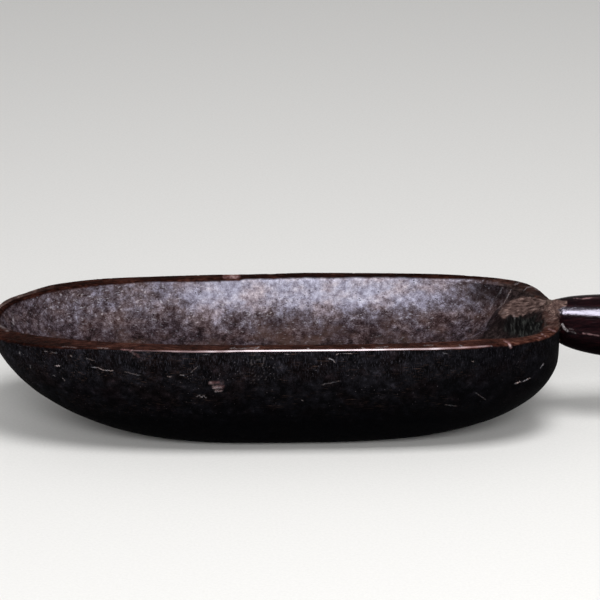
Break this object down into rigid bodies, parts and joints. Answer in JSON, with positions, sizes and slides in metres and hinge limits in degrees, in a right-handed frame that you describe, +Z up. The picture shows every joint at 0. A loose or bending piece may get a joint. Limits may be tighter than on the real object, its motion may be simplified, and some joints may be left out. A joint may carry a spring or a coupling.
{
  "type": "wooden serving dish",
  "caption": "Long, deep, trough-like carved wooden serving dish with rounded ends and a stout round handle tenoned and pegged into one end wall.",
  "frame": {"origin": "middle of the dish's length and width, on the flat that it rests on", "axes": "+X along the dish towards the handle, +Y across it away from the pictured side, +Z up"},
  "size_m": [0.5155, 0.17, 0.0946],
  "materials": {
    "dish_wood": "old, dark and handled, near-black outside, dusty grey-brown inside, red-brown where the rim is worn",
    "handle_wood": "polished dark purple-red brown, glossy from use",
    "peg_wood": "worn pale end grain"
  },
  "bodies": {
    "root": {"dish": "dish_wood", "handle": "handle_wood", "locking_peg": "peg_wood"}
  },
  "joints": []
}
